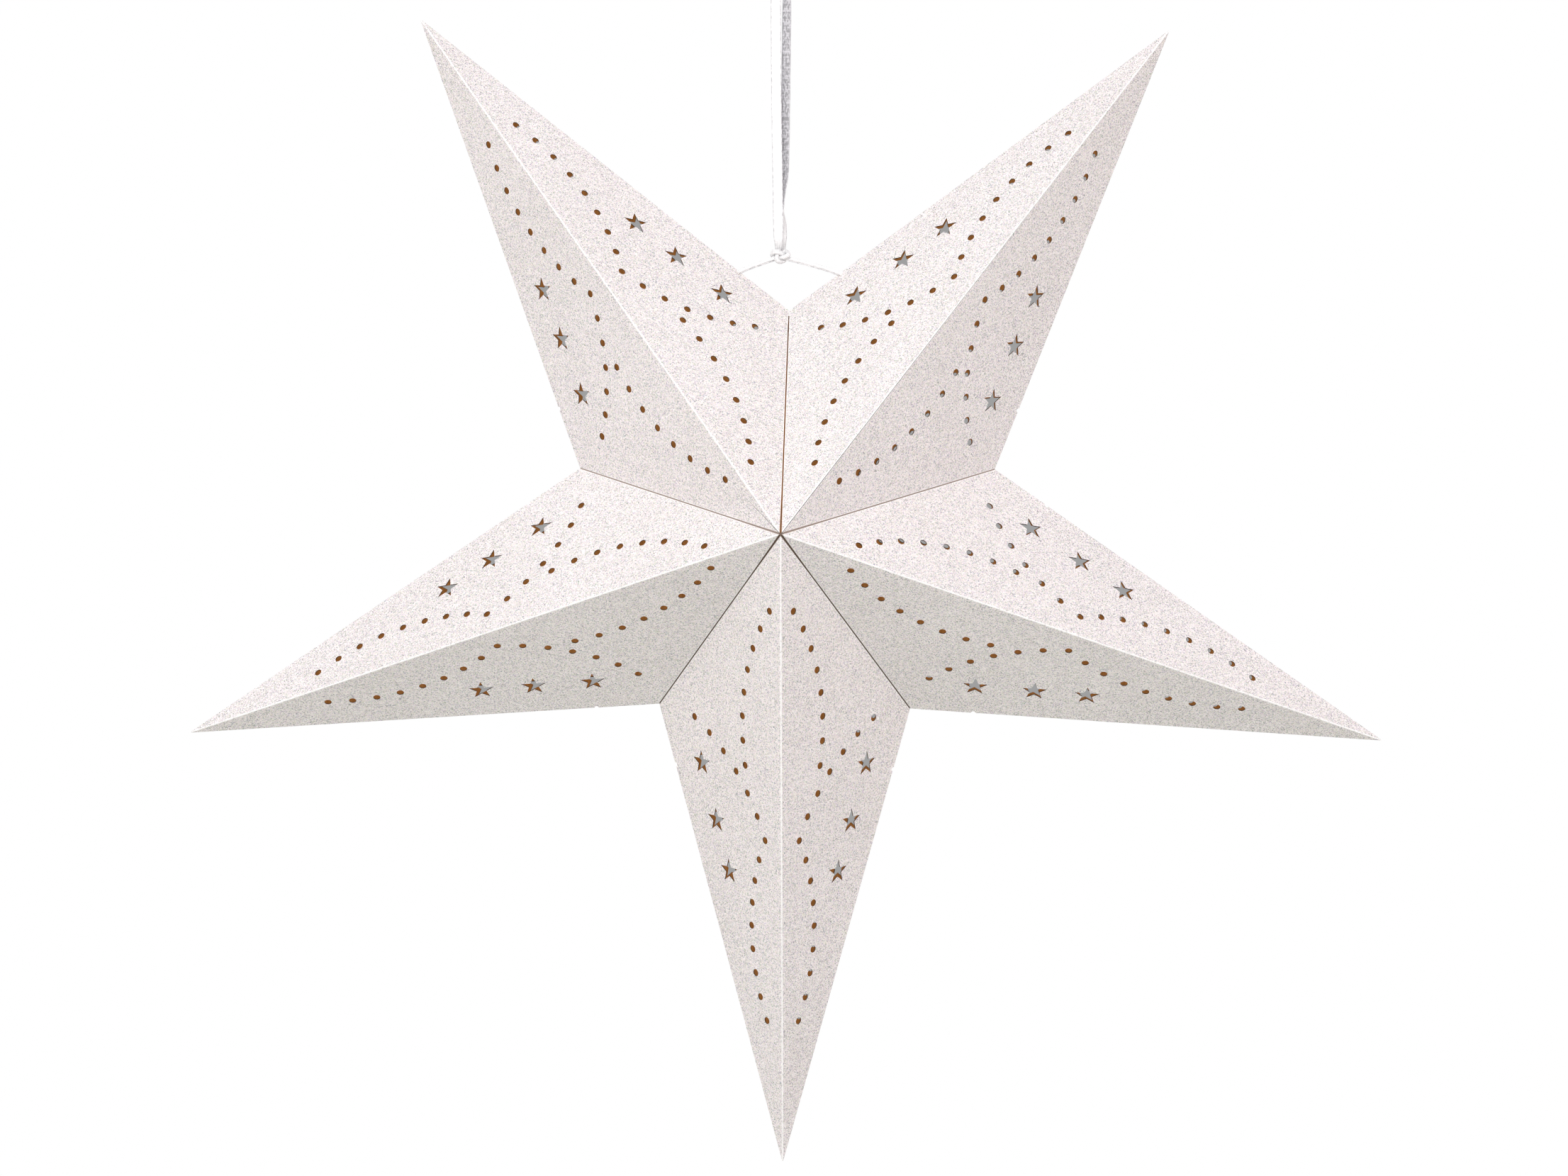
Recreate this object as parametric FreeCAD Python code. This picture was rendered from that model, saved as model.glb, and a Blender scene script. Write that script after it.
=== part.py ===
import FreeCAD, Part
import math
import os

# Folded card star lantern: five hollow arms, each one die-cut card scored into
# four panels with glue flaps, hung on a ribbon sling that runs through two
# punched crease holes. A small battery lamp hangs on the sling inside.
# Millimetres, +Z up, the star faces -Y. The origin is where the loop of the
# ribbon rests on its hook; star sizes are measured from the star's centre.

V = FreeCAD.Vector

# ---- star -----------------------------------------------------------------
STAR_DROP = 300.0          # loop's rest down to the star's centre
STAR_SIDE = 5.4            # the star's centre lies this far right of the loop
TIP_REACH = 315.0          # centre to the tip of an arm
VALLEY_REACH = 108.0       # centre to the notch between two arms
HALF_DEPTH = 97.5          # centre of the front (or back) out of the mid plane
CARD = 0.5                 # thickness of the glitter card
TIP_LEAN = (0.4, -0.5, -0.7, 0.1, 1.2)      # hand folding, degrees per arm
NOTCH_LEAN = (0.2, 0.0, -0.4, -0.2, 1.2)   # degrees per notch
NOTCH_SHIFT = (-1.9, -0.6, 1.0, 2.7, -0.4)  # notch reach, mm
ARMS = ("arm_bottom", "arm_right", "arm_upper_right", "arm_upper_left",
        "arm_left")

FLAP = 10.0                # width of a glue flap along a seam
FLAP_FROM_NOTCH = 22.0     # flaps stop short of the notch
FLAP_FROM_CENTRE = 16.0    # and of the centre
LAP = 8.0                  # closing lap under the back ridge
LAP_FROM_TIP = 45.0
LAP_FROM_CENTRE = 75.0
OPEN_SEAM = 0.3            # the top seam is tied, not glued: gap each side

# ---- punched pattern of one panel: u from the tip along the outer crease, --
# ---- w from that crease towards the ridge ---------------------------------
DOT_D = 3.6
OUTER_ROW = ((72.5, 18.1), (120.2, 26.0), (160.5, 54.3), 9)
CUSP_ROW = ((160.5, 54.3), (197.0, 46.2), (227.7, 25.3), 7)
INNER_ROW = ((198.8, 54.5), (237.0, 70.6), (269.2, 104.3), 8)
STARS = ((149.2, 20.0), (175.3, 20.7), (204.7, 21.3))
STAR_R = 6.5               # centre of a punched star to its points
STAR_INNER = 2.6
CREASE_HOLE_D = 2.2        # string hole on each outer crease
SLING_HOLE_D = 3.5         # the two that the bunched ribbon has stretched
CREASE_HOLE_BACK = 31.3    # from the notch along the crease

# ---- ribbon ---------------------------------------------------------------
RIBBON = 5.0               # width
RIBBON_T = 0.4
LOOP_TURN = 3.0            # bend over the hook
KNOT_AT = (1.2, -163.0)
KNOT = (9.8, 6.0, 6.6)     # width, depth, height
KNOT_GAP = 0.35            # loop strands end this far above the knot
LOOP_LOW = (-1.0, 2.6)     # x of the left and the right strand at the knot
LEFT_TURN = ((-159.35, 82.0), (-40.0, 84.0), (-8.0, 0.0))  # z, degrees
RIGHT_TURN = ((-159.35, 70.0), (-137.0, 62.0), (-114.0, 0.0),
              (-82.0, -58.0), (-40.0, -60.0), (-8.0, 0.0))
SLING_D = 2.4              # the ribbon bunched through the holes
SLING_IN = 4.0             # how far it reaches in before it turns back
SLING_FLAT = 9.0           # short level stretch under the notch

# ---- battery lamp inside --------------------------------------------------
WIRE_D = 1.2               # lamp hook
HOOK_PLAY = 0.2
NOTCH_TO_HOOK = 2.5        # notch point to the top of the hook's bend
LAMP_D = 28.0
WALL = 1.5
RUN = 0.1                  # running clearance on a radius
CELL_D = 20.0
CELL_H = 3.2
CELLS = 2
CELL_PLAY = 0.4
DECK = 2.0                 # floor between cells and board
BOARD_T = 1.6
LOWER_ROOM = 11.0          # chamber under the deck
NECK_WALL = 1.8
NECK_H = 8.0
CAP_TOP = 2.5
SPRING_ROOM = 5.4
SPRING_R = 5.0
SPRING_WIRE = 0.6
SPRING_TURNS = 3.0
CONTACT_T = 0.3
CAP_TOP_Z = 16.0           # top of the lamp over the star's centre
WASHER_R = 2.6
WASHER_T = 0.8
WASHER_UP = 0.3            # washer over the contact disc under it
LED = (3.5, 2.8, 1.9)
LED_RING = 4.5
LED_COUNT = 3
LED_FIRST = 30.0           # degrees
SCREW_RING = 8.5
SCREW_R = 0.9
SCREW_HEAD_R = 1.7
DOME_WALL = 1.2
SPIGOT = 2.6
FLANGE = 1.5
DOME_DROP = 3.0
STUD_R = 2.6               # foot of the lower contact, through the deck
SLOT_W = 3.4
SLOT_H = 5.2
SLIDER_W = 3.0
SLIDER_H = 2.8
SLIDER_OUT = 1.2
SLIDER_BACK = 0.8
LUG = 0.7
LUG_W = 3.0
LUG_H = 1.5
TWIST = 60.0               # degrees that the lugs turn from their ways in
GRIPS = 18
GRIP_R = 0.7

CENTRE = V(STAR_SIDE, 0, -STAR_DROP)


# ---- planes and solids between planes ---------------------------------------
def plane(point, normal):
    normal = V(normal).normalize()
    return normal, normal.dot(point)


def shifted(pl, distance):
    return pl[0], pl[1] + distance


def meet(a, b, c):
    cross = b[0].cross(c[0])
    total = cross * a[1] + c[0].cross(a[0]) * b[1] + a[0].cross(b[0]) * c[1]
    return total * (1.0 / a[0].dot(cross))


def polygon(points):
    return Part.Face(Part.makePolygon(list(points) + [points[0]]))


def prism(top, bottom, sides):
    """Solid between two planes, closed by side planes in order."""
    pairs = list(zip(sides, sides[1:] + sides[:1]))
    upper = [meet(top, a, b) for a, b in pairs]
    lower = [meet(bottom, a, b) for a, b in pairs]
    faces = [polygon(upper), polygon(lower)]
    for i in range(len(pairs)):
        j = (i + 1) % len(pairs)
        faces.append(polygon([upper[i], upper[j], lower[j], lower[i]]))
    solid = Part.Solid(Part.Shell(faces))
    if solid.Volume < 0:
        solid.reverse()
    return solid


# ---- star -------------------------------------------------------------------
def on_star(angle, reach):
    a = math.radians(angle)
    return V(reach * math.cos(a), 0, reach * math.sin(a))


def tip(i):
    return on_star(-90 + 72 * i + TIP_LEAN[i], TIP_REACH)


def notch(i):
    """Notch i lies clockwise of arm i, seen from the front."""
    k = i % len(ARMS)
    return on_star(-126 + 72 * k + NOTCH_LEAN[k],
                   VALLEY_REACH + NOTCH_SHIFT[k])


OPEN_NOTCH = ARMS.index("arm_upper_left")


def seam_plane(i, towards):
    """Upright plane through the centre line and notch i, facing an arm."""
    normal = V(0, 1, 0).cross(notch(i))
    if normal.dot(towards) < 0:
        normal = -normal
    gap = OPEN_SEAM if i % len(ARMS) == OPEN_NOTCH else 0.0
    return shifted(plane(V(0, 0, 0), normal), gap)


def row_points(row):
    start, middle, end, count = row
    arc = Part.Arc(*[V(u, w, 0) for u, w in (start, middle, end)])
    return [(p.x, p.y) for p in arc.discretize(count)]


def pattern_dots():
    dots = row_points(OUTER_ROW) + row_points(CUSP_ROW)[1:]
    return dots + row_points(INNER_ROW)


def punch_tools(corner, along, across, normal):
    """Cutters of one panel's pattern, through the card."""
    reach = 2 * CARD
    tools = []
    for u, w in pattern_dots():
        at = corner + along * u + across * w - normal * reach
        tools.append(Part.makeCylinder(DOT_D / 2, 2 * reach, at, normal))
    for u, w in STARS:
        at = corner + along * u + across * w - normal * reach
        ring = []
        for k in range(10):
            r = STAR_R if k % 2 == 0 else STAR_INNER
            a = math.radians(90 + 36 * k)
            ring.append(at + along * (r * math.cos(a))
                        + across * (r * math.sin(a)))
        tools.append(polygon(ring).extrude(normal * (2 * reach)))
    return tools


def crease_hole(corner, valley, diameter):
    along = (valley - corner).normalize()
    out = along.cross(V(0, 1, 0))
    if out.dot(valley) < 0:
        out = -out
    at = valley - along * CREASE_HOLE_BACK
    tool = Part.makeCylinder(diameter / 2, 12 * CARD,
                             at - out * (6 * CARD), out)
    return tool, at, out


class Panel:
    """One triangular panel: tip, notch and centre of the front or back."""

    def __init__(self, i, k, side):
        self.tip, self.notch = tip(i), notch(k)
        tied = k % len(ARMS) == OPEN_NOTCH
        self.string_hole = SLING_HOLE_D if tied else CREASE_HOLE_D
        self.centre = V(0, side * HALF_DEPTH, 0)
        normal = (self.notch - self.tip).cross(self.centre - self.tip)
        if normal.y * side < 0:
            normal = -normal
        self.outer = plane(self.tip, normal)
        self.inner = shifted(self.outer, -CARD)
        self.normal = self.outer[0]
        self.seam = seam_plane(k, self.tip)
        self.middle = plane(V(0, 0, 0), V(0, 1, 0))

    def solid(self, ridge):
        body = prism(self.outer, self.inner, [self.middle, self.seam, ridge])
        along = (self.notch - self.tip).normalize()
        across = self.normal.cross(along)
        if across.dot(self.centre - self.tip) < 0:
            across = -across
        tools = punch_tools(self.tip, along, across, self.normal)
        tools.append(crease_hole(self.tip, self.notch, self.string_hole)[0])
        return body.cut(tools)

    def flap(self):
        """Glue flap, folded in along the seam."""
        edge = (self.centre - self.notch).normalize()
        inward = edge.cross(self.seam[0])
        if inward.dot(-self.centre) < 0:
            inward = -inward
        a = self.notch + edge * FLAP_FROM_NOTCH
        b = self.centre - edge * FLAP_FROM_CENTRE
        slant = [edge * -1 + inward, edge + inward]
        ends = [plane(a, slant[0]), plane(b, slant[1])]
        rim = plane(self.notch + inward * FLAP, inward)
        sides = [self.seam, ends[0], shifted(self.seam, CARD), ends[1]]
        return prism(self.inner, rim, sides)


def ridge_plane(a, b):
    line = a.centre - a.tip
    return plane(a.tip, line.cross(a.normal + b.normal))


def closing_lap(a, b):
    """Strip of panel b's card glued under panel a along the back ridge."""
    line = (a.centre - a.tip).normalize()
    ends = [plane(a.tip + line * LAP_FROM_TIP, line),
            plane(a.centre - line * LAP_FROM_CENTRE, line)]
    inward = a.normal.cross(line)
    if inward.dot(a.notch - a.tip) < 0:
        inward = -inward
    rim = plane(a.tip + inward * LAP, inward)
    sides = [b.inner, ends[0], rim, ends[1]]
    return prism(a.inner, shifted(a.inner, -CARD), sides)


def arm(i):
    solids = []
    for side in (-1, 1):
        pair = [Panel(i, i, side), Panel(i, i + 1, side)]
        ridge = ridge_plane(*pair)
        for p in pair:
            solids += [p.solid(ridge), p.flap()]
        if side > 0:
            solids.append(closing_lap(*pair))
    return solids


# ---- paths ------------------------------------------------------------------
def rounded(points, radii, name):
    """Straight runs joined by tangent arcs, one radius per inner point."""
    edges = []
    start = points[0]
    for before, at, after, r in zip(points, points[1:], points[2:], radii):
        d_in = (at - before).normalize()
        d_out = (after - at).normalize()
        turn = d_in.getAngle(d_out)
        cut = r * math.tan(turn / 2)
        a, b = at - d_in * cut, at + d_out * cut
        bisector = (d_out - d_in).normalize()
        middle = at + bisector * (r / math.cos(turn / 2) - r)
        if (a - start).Length > 1e-4:
            edges.append(Part.LineSegment(start, a).toShape())
        edges.append(Part.Arc(a, middle, b).toShape())
        start = b
    edges.append(Part.LineSegment(start, points[-1]).toShape())
    wire = Part.Wire(edges)
    print(name, "radii", [round(r, 1) for r in radii],
          "length", round(wire.Length, 1))
    return wire


def free_radii(points):
    """As large as the two runs allow."""
    radii = []
    for before, at, after in zip(points, points[1:], points[2:]):
        turn = (at - before).getAngle(after - at)
        run = min((at - before).Length, (after - at).Length)
        radii.append(0.45 * run / math.tan(turn / 2))
    return radii


def tube(wire, radius):
    start = wire.OrderedEdges[0]
    at = start.valueAt(start.FirstParameter)
    direction = start.tangentAt(start.FirstParameter)
    ring = Part.Wire(Part.Circle(at, direction, radius).toShape())
    return wire.makePipeShell([ring], True, False)


# ---- ribbon -----------------------------------------------------------------
def strip(stations):
    """Flat ribbon: ruled loft through (point, tangent, width angle)."""
    wires = []
    for at, tangent, angle in stations:
        side = V(0, 1, 0)
        face = tangent.cross(side)
        a = math.radians(angle)
        w = (side * math.cos(a) + face * math.sin(a)) * (RIBBON / 2)
        t = tangent.cross(w).normalize() * (RIBBON_T / 2)
        ring = [at + w + t, at - w + t, at - w - t, at + w - t]
        wires.append(Part.makePolygon(ring + ring[:1]))
    return Part.makeLoft(wires, True, True)


def strand(x_low, x_high, z_low, angles):
    """Stations up one strand; angles are (z, angle) from bottom to top."""
    z_high = -LOOP_TURN + RIBBON_T / 2
    low, high = V(x_low, 0, z_low), V(x_high, 0, z_high)
    tangent = (high - low).normalize()
    stations = []
    steps = 36
    for k in range(steps):
        at = low + (high - low) * (k / steps)
        stations.append((at, tangent, eased(at.z, angles)))
    return stations


def eased(z, angles):
    for (za, a), (zb, b) in zip(angles, angles[1:]):
        if z <= zb:
            f = min(max((z - za) / (zb - za), 0.0), 1.0)
            f = f * f * (3 - 2 * f)
            return a + (b - a) * f
    return angles[-1][1]


def ribbon_loop():
    low = KNOT_AT[1] + KNOT[2] / 2 + KNOT_GAP
    top = RIBBON_T / 2
    left = strand(LOOP_LOW[0], -LOOP_TURN, low, LEFT_TURN)
    right = strand(LOOP_LOW[1], LOOP_TURN, low, RIGHT_TURN)
    over = []
    for k in range(13):
        a = math.radians(180 - 15 * k)
        at = V(LOOP_TURN * math.cos(a), 0,
               top - LOOP_TURN + LOOP_TURN * math.sin(a))
        over.append((at, V(math.sin(a), 0, -math.cos(a)), 0.0))
    down = [(at, -tangent, -angle) for at, tangent, angle in reversed(right)]
    return strip(left + over + down)


def ribbon_knot():
    ball = Part.makeSphere(1.0)
    matrix = FreeCAD.Matrix()
    matrix.scale(KNOT[0] / 2, KNOT[1] / 2, KNOT[2] / 2)
    ball = ball.transformGeometry(matrix)
    return ball.translated(V(KNOT_AT[0], 0, KNOT_AT[1]))


def hook_bend():
    """Centre of the lamp hook's bend, on the sling's level stretch."""
    top = notch(OPEN_NOTCH).z - NOTCH_TO_HOOK
    return V(0, 0, top - WIRE_D / 2 - bend_radius())


def bend_radius():
    return SLING_D / 2 + HOOK_PLAY + WIRE_D / 2


def sling_points():
    holes = []
    for i in (OPEN_NOTCH, OPEN_NOTCH - 1):
        tool, at, out = crease_hole(tip(i), notch(OPEN_NOTCH), SLING_HOLE_D)
        holes.append((at + CENTRE, out))
    knot = V(KNOT_AT[0], 0, KNOT_AT[1])
    level = hook_bend() + CENTRE
    half = V(SLING_FLAT / 2, 0, 0)
    (left, out_l), (right, out_r) = holes
    return [knot + V(-1.2, 0, 0), left + out_l * 1.2, left - out_l * SLING_IN,
            level - half, level + half,
            right - out_r * SLING_IN, right + out_r * 1.2,
            knot + V(1.2, 0, 0)]


def ribbon_sling(knot):
    points = sling_points()
    wire = rounded(points, free_radii(points), "sling")
    return tube(wire, SLING_D / 2).cut(knot)


# ---- lamp, in the star's own coordinates ------------------------------------
LAMP_R = LAMP_D / 2
BORE_R = CELL_D / 2 + CELL_PLAY
NECK_R = BORE_R + NECK_WALL
LOWER_R = LAMP_R - WALL
ROOF_Z = CAP_TOP_Z - CAP_TOP
CELL_TOP = ROOF_Z - CONTACT_T - SPRING_ROOM
CELL_LOW = CELL_TOP - CELLS * CELL_H
DECK_TOP = CELL_LOW - CONTACT_T
DECK_LOW = DECK_TOP - DECK
BODY_LOW = DECK_LOW - LOWER_ROOM
NECK_TOP = ROOF_Z - 0.4
SHOULDER = NECK_TOP - NECK_H
BOARD_TOP = DECK_LOW - 0.3
BOARD_LOW = BOARD_TOP - BOARD_T
SLOT_Z = BOARD_LOW - 1.0 - SLOT_H / 2


def turned(profile):
    """Solid of revolution about Z from (radius, z) corners."""
    face = polygon([V(r, 0, z) for r, z in profile])
    return face.revolve(V(0, 0, 0), V(0, 0, 1), 360)


def drum(radius, low, high, x=0.0, y=0.0):
    return Part.makeCylinder(radius, high - low, V(x, y, low))


def block(size, low_corner):
    return Part.makeBox(*size, V(*low_corner))


def around(count, radius, first=0.0):
    for k in range(count):
        a = math.radians(first + 360.0 * k / count)
        yield radius * math.cos(a), radius * math.sin(a)


def lamp_hook():
    c = hook_bend()
    r = bend_radius()
    low = ROOF_Z + WASHER_UP
    points = [V(0, -r, c.z - r), V(0, -r, c.z + r), V(0, r, c.z + r),
              V(0, r, c.z - 1.8 * r), V(0, 0, c.z - 3.4 * r), V(0, 0, low)]
    radii = [0.999 * r, 0.999 * r, 1.6 * r, 1.6 * r]
    return tube(rounded(points, radii, "hook"), WIRE_D / 2)


def hook_washer():
    low = ROOF_Z + WASHER_UP
    ring = drum(WASHER_R, low, low + WASHER_T)
    return ring.cut(drum(WIRE_D / 2, low, low + WASHER_T))


def lug_boxes(extra=0.0):
    z = SHOULDER + NECK_H * 0.45
    size = (LUG + extra, LUG_W + 2 * extra, LUG_H + 2 * extra)
    for side in (-1, 1):
        x = NECK_R - 0.2 if side > 0 else -NECK_R + 0.2 - size[0]
        yield block((size[0], size[1], size[2]),
                    (x, -size[1] / 2, z - extra))


def lamp_cap():
    inner = NECK_R + RUN
    low = SHOULDER + 0.15
    cap = turned([(0, ROOF_Z), (inner, ROOF_Z), (inner, low), (LAMP_R, low),
                  (LAMP_R, CAP_TOP_Z - 1.2), (LAMP_R - 1.2, CAP_TOP_Z),
                  (0, CAP_TOP_Z)])
    cuts = [drum(WIRE_D / 2 + RUN, ROOF_Z - 1, CAP_TOP_Z + 1),
            drum(WASHER_R + 0.3, ROOF_Z - 1,
                 ROOF_Z + WASHER_UP + WASHER_T + RUN)]
    groove_r = NECK_R - 0.2 + LUG + 0.2
    z = SHOULDER + NECK_H * 0.45
    cuts.append(drum(groove_r, z - 0.2, z + LUG_H + 0.2))
    for x, y in around(2, 1.0, TWIST):
        way = block((groove_r + 0.2, LUG_W + 0.6, z - low + 1),
                    (0, -(LUG_W + 0.6) / 2, low - 0.5))
        way.rotate(V(0, 0, 0), V(0, 0, 1), math.degrees(math.atan2(y, x)))
        cuts.append(way)
    for x, y in around(GRIPS, LAMP_R + 0.2):
        cuts.append(drum(GRIP_R, low - 1, CAP_TOP_Z - 2, x, y))
    return cap.cut(cuts)


def top_contact():
    return drum(BORE_R - 0.5, ROOF_Z - CONTACT_T, ROOF_Z)


def battery_spring():
    height = SPRING_ROOM - SPRING_WIRE - 0.1
    helix = Part.makeHelix(height / SPRING_TURNS, height, SPRING_R)
    wire = Part.Wire(helix.Edges)
    ring = Part.Wire(Part.Circle(V(SPRING_R, 0, 0), V(0, 1, 0),
                                 SPRING_WIRE / 2).toShape())
    coil = wire.makePipeShell([ring], True, True)
    return coil.translated(V(0, 0, CELL_TOP + SPRING_WIRE / 2 + 0.05))


def coin_cells():
    cells = []
    for k in range(CELLS):
        z = CELL_LOW + k * CELL_H
        r = CELL_D / 2
        cells.append(turned([(0, z), (r - 1.2, z), (r - 1.2, z + 0.3),
                             (r, z + 0.7), (r, z + CELL_H - 0.2),
                             (r - 0.2, z + CELL_H), (0, z + CELL_H)]))
    return cells


def bottom_contact():
    disc = drum(BORE_R - 1.5, DECK_TOP, CELL_LOW)
    return disc.fuse(drum(STUD_R, BOARD_TOP, DECK_TOP)).removeSplitter()


def lamp_body():
    body = turned([(LAMP_R, BODY_LOW), (LAMP_R, SHOULDER), (NECK_R, SHOULDER),
                   (NECK_R, NECK_TOP), (BORE_R, NECK_TOP), (BORE_R, DECK_TOP),
                   (STUD_R + RUN, DECK_TOP), (STUD_R + RUN, DECK_LOW),
                   (LOWER_R, DECK_LOW), (LOWER_R, BODY_LOW)])
    body = body.fuse(list(lug_boxes()))
    cuts = [drum(SCREW_R + 0.05, DECK_LOW - 1, DECK_LOW + DECK * 0.75, x, y)
            for x, y in around(2, SCREW_RING)]
    cuts.append(block((SLOT_W, WALL + 4, SLOT_H),
                      (-SLOT_W / 2, LOWER_R - 2, SLOT_Z - SLOT_H / 2)))
    return body.cut(cuts)


def led_board():
    board = drum(LOWER_R - RUN, BOARD_LOW, BOARD_TOP)
    return board.cut([drum(SCREW_R + 0.2, BOARD_LOW - 1, BOARD_TOP + 1, x, y)
                      for x, y in around(2, SCREW_RING)])


def board_screws():
    screws = []
    for x, y in around(2, SCREW_RING):
        shank = drum(SCREW_R, BOARD_LOW, DECK_LOW + DECK * 0.7, x, y)
        head = drum(SCREW_HEAD_R, BOARD_LOW - 1.1, BOARD_LOW, x, y)
        cross = block((0.5, 2.2, 0.6), (x - 0.25, y - 1.1, BOARD_LOW - 1.2))
        screws.append(shank.fuse(head).cut(cross).removeSplitter())
    return screws


def leds():
    chips = []
    for x, y in around(LED_COUNT, LED_RING, LED_FIRST):
        base = block(LED, (x - LED[0] / 2, y - LED[1] / 2,
                           BOARD_LOW - LED[2]))
        chips.append(base.makeChamfer(0.3, [e for e in base.Edges
                     if e.BoundBox.ZMax < BOARD_LOW - LED[2] + 0.01]))
    return chips


def diffuser():
    low = BODY_LOW - FLANGE
    mid = low - DOME_DROP
    r = LAMP_R - 0.8
    inner = r - DOME_WALL
    spigot = LOWER_R - RUN

    def at(radius, angle):
        a = math.radians(angle)
        return V(radius * math.cos(a), 0, mid - radius * math.sin(a))

    corners = [V(spigot, 0, BODY_LOW + SPIGOT), V(spigot, 0, BODY_LOW),
               V(LAMP_R, 0, BODY_LOW), V(LAMP_R, 0, low), V(r, 0, low),
               at(r, 0)]
    edges = [Part.LineSegment(a, b).toShape()
             for a, b in zip(corners, corners[1:])]
    edges.append(Part.Arc(at(r, 0), at(r, 45), at(r, 90)).toShape())
    edges.append(Part.LineSegment(at(r, 90), at(inner, 90)).toShape())
    edges.append(Part.Arc(at(inner, 90), at(inner, 45),
                          at(inner, 0)).toShape())
    edges.append(Part.LineSegment(at(inner, 0),
                                  V(inner, 0, BODY_LOW + SPIGOT)).toShape())
    edges.append(Part.LineSegment(V(inner, 0, BODY_LOW + SPIGOT),
                                  corners[0]).toShape())
    face = Part.Face(Part.Wire(edges))
    return face.revolve(V(0, 0, 0), V(0, 0, 1), 360)


def switch_slider():
    z = SLOT_Z - SLOT_H / 2 + SLIDER_H / 2 + 0.2
    button = block((SLIDER_W, WALL + SLIDER_OUT + 1.0, SLIDER_H),
                   (-SLIDER_W / 2, LOWER_R - 1.0, z - SLIDER_H / 2))
    rib = block((SLIDER_W, 0.5, 0.6),
                (-SLIDER_W / 2, LAMP_R + SLIDER_OUT, z - 0.3))
    back = block((SLIDER_W + 1.6, SLIDER_BACK, SLIDER_H + 1.0),
                 (-SLIDER_W / 2 - 0.8, LOWER_R - 1.0 - SLIDER_BACK,
                  z - SLIDER_H / 2 - 0.5))
    return button.fuse([rib, back]).removeSplitter()


def switch_base():
    """Fixed half of the switch, soldered under the board."""
    y = LOWER_R - 1.0 - SLIDER_BACK - 0.15
    depth = 2.2
    return block((6.0, depth, BOARD_LOW - SLOT_Z + SLOT_H / 2),
                 (-3.0, y - depth, SLOT_Z - SLOT_H / 2))


# ---- everything in its place ------------------------------------------------
def build():
    nodes = {}
    for i, name in enumerate(ARMS):
        nodes[name] = arm(i)
    for make in (lamp_hook, hook_washer, lamp_cap, top_contact,
                 battery_spring, coin_cells, bottom_contact, lamp_body,
                 led_board, board_screws, leds, diffuser, switch_slider,
                 switch_base):
        made = make()
        nodes[make.__name__] = made if isinstance(made, list) else [made]
    for name, solids in nodes.items():
        nodes[name] = [s.translated(CENTRE) for s in solids]
    knot = ribbon_knot()
    nodes["ribbon_loop"] = [ribbon_loop()]
    nodes["ribbon_knot"] = [knot]
    nodes["ribbon_sling"] = [ribbon_sling(knot)]
    return nodes


def write(nodes):
    os.makedirs("parts", exist_ok=True)
    for name, shapes in nodes.items():
        solids = [s for shape in shapes for s in shape.Solids]
        shape = solids[0] if len(solids) == 1 else Part.makeCompound(solids)
        if not shape.isValid():
            raise ValueError(name + " is not a valid solid")
        shape.exportStep("parts/" + name + ".step")


write(build())
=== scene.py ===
import math
import bmesh
import bpy
from mathutils import Matrix, Vector


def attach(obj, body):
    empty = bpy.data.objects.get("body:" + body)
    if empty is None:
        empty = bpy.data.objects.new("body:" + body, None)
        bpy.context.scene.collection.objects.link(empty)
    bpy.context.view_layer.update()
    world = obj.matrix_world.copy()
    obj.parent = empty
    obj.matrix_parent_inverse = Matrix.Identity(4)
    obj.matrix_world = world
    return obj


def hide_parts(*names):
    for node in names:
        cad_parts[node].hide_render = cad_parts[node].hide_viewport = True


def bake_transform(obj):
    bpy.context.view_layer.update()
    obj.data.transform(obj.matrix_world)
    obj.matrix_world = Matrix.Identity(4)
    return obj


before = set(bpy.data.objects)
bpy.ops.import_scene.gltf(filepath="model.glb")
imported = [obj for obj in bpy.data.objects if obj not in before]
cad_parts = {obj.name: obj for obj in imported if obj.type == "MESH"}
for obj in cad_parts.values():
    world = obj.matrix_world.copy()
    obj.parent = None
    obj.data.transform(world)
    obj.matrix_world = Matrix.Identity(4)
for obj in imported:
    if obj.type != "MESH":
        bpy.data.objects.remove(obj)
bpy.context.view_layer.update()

MM = 0.001

# ---- star, as folded --------------------------------------------------------
STAR_CENTRE = Vector((5.4, 0, -300)) * MM
TIP_REACH = 315 * MM
NOTCH_REACH = 108 * MM
HALF_DEPTH = 97.5 * MM
FRONT_POINT = STAR_CENTRE - Vector((0, HALF_DEPTH, 0))
ARM_STEP = 72                                   # degrees between two arms
FIRST_TIP = -90
FIRST_NOTCH = -126
TIP_LEAN = (0.4, -0.5, -0.7, 0.1, 1.2)          # degrees, hand folding
NOTCH_LEAN = (0.2, 0.0, -0.4, -0.2, 1.2)
NOTCH_SHIFT = (-1.9, -0.6, 1.0, 2.7, -0.4)      # mm
ARMS = ("arm_bottom", "arm_right", "arm_upper_right", "arm_upper_left",
        "arm_left")
WELD = 0.04 * MM
CARD = 0.5 * MM
RIM_FACE = 12 * MM * MM     # a hole's cut edge has no larger face
FOLD_ROUND = 0.45 * MM      # radius of the scored folds
FOLD_STEPS = 3
FLAT_WITHIN = 15            # degrees between faces that still shade as one

# cosines between a face and a panel
SAME_PLANE = 0.98
OUTWARD = 0.3
UPRIGHT = 0.2

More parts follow.
